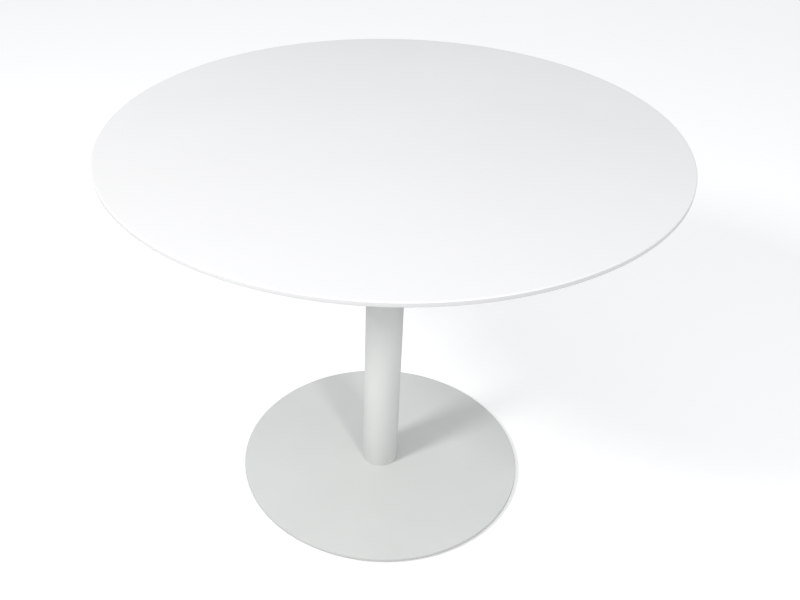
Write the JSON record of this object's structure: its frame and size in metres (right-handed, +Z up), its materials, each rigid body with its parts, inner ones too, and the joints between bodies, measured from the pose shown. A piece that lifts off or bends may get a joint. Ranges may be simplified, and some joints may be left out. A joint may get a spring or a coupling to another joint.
{
  "type": "round pedestal table",
  "caption": "Round white tabletop on a single slim cylindrical column with a flat round disc base and screw-in levelling glides.",
  "frame": {"origin": "on the floor, on the table's vertical axis, with the levelling glides screwed right in", "axes": "+Z up along the column; +X through the first levelling glide"},
  "size_m": [0.9999, 1, 0.75],
  "materials": {
    "top_lacquer": "satin white lacquer on fibreboard",
    "column_coat": "light grey matt powder coat",
    "base_coat": "light grey matt powder coat",
    "top_plate_coat": "light grey matt powder coat",
    "turned_steel": "turned steel, lightly oiled",
    "zinc_plated_steel": "bright zinc plate",
    "threaded_insert": "plain turned brass",
    "glide_nylon": "dark grey moulded nylon",
    "glide_steel": "zinc plated steel"
  },
  "bodies": {
    "table": {"tabletop": "top_lacquer", "tabletop_inserts": "threaded_insert", "top_screws": "zinc_plated_steel", "top_plate": "top_plate_coat", "upper_hub": "turned_steel", "hub_screws": "zinc_plated_steel", "tie_rod": "zinc_plated_steel", "tie_rod_washer": "zinc_plated_steel", "tie_rod_lock_washer": "zinc_plated_steel", "tie_rod_nut": "zinc_plated_steel", "column_tube": "column_coat", "lower_hub": "turned_steel", "base_plate": "base_coat", "base_screws": "zinc_plated_steel"},
    "pad_1": {"glide_pad_1": "glide_nylon"},
    "stem_1": {"glide_stem_1": "glide_steel"},
    "pad_2": {"glide_pad_2": "glide_nylon"},
    "stem_2": {"glide_stem_2": "glide_steel"},
    "pad_3": {"glide_pad_3": "glide_nylon"},
    "stem_3": {"glide_stem_3": "glide_steel"},
    "pad_4": {"glide_pad_4": "glide_nylon"},
    "stem_4": {"glide_stem_4": "glide_steel"},
    "pad_5": {"glide_pad_5": "glide_nylon"},
    "stem_5": {"glide_stem_5": "glide_steel"},
    "pad_6": {"glide_pad_6": "glide_nylon"},
    "stem_6": {"glide_stem_6": "glide_steel"}
  },
  "joints": [
    {"name": "glide_1_travel", "type": "slide", "parent": "table", "child": "pad_1", "axis": [0, 0, -1], "range_m": [0, 0.002]},
    {"name": "glide_1_screw", "type": "hinge", "parent": "pad_1", "child": "stem_1", "pos_m": [0.245, 0, 0.002], "axis": [0, 0, -1], "continuous": true},
    {"name": "glide_2_travel", "type": "slide", "parent": "table", "child": "pad_2", "axis": [0, 0, -1], "range_m": [0, 0.002]},
    {"name": "glide_2_screw", "type": "hinge", "parent": "pad_2", "child": "stem_2", "pos_m": [0.1225, 0.21218, 0.002], "axis": [0, 0, -1], "continuous": true},
    {"name": "glide_3_travel", "type": "slide", "parent": "table", "child": "pad_3", "axis": [0, 0, -1], "range_m": [0, 0.002]},
    {"name": "glide_3_screw", "type": "hinge", "parent": "pad_3", "child": "stem_3", "pos_m": [-0.1225, 0.21218, 0.002], "axis": [0, 0, -1], "continuous": true},
    {"name": "glide_4_travel", "type": "slide", "parent": "table", "child": "pad_4", "axis": [0, 0, -1], "range_m": [0, 0.002]},
    {"name": "glide_4_screw", "type": "hinge", "parent": "pad_4", "child": "stem_4", "pos_m": [-0.245, 0, 0.002], "axis": [0, 0, -1], "continuous": true},
    {"name": "glide_5_travel", "type": "slide", "parent": "table", "child": "pad_5", "axis": [0, 0, -1], "range_m": [0, 0.002]},
    {"name": "glide_5_screw", "type": "hinge", "parent": "pad_5", "child": "stem_5", "pos_m": [-0.1225, -0.21218, 0.002], "axis": [0, 0, -1], "continuous": true},
    {"name": "glide_6_travel", "type": "slide", "parent": "table", "child": "pad_6", "axis": [0, 0, -1], "range_m": [0, 0.002]},
    {"name": "glide_6_screw", "type": "hinge", "parent": "pad_6", "child": "stem_6", "pos_m": [0.1225, -0.21218, 0.002], "axis": [0, 0, -1], "continuous": true}
  ],
  "couplings": [
    {"joint": "glide_1_screw", "follows": "glide_1_travel", "rad_per_m": 6283.2},
    {"joint": "glide_2_screw", "follows": "glide_2_travel", "rad_per_m": 6283.2},
    {"joint": "glide_3_screw", "follows": "glide_3_travel", "rad_per_m": 6283.2},
    {"joint": "glide_4_screw", "follows": "glide_4_travel", "rad_per_m": 6283.2},
    {"joint": "glide_5_screw", "follows": "glide_5_travel", "rad_per_m": 6283.2},
    {"joint": "glide_6_screw", "follows": "glide_6_travel", "rad_per_m": 6283.2}
  ]
}
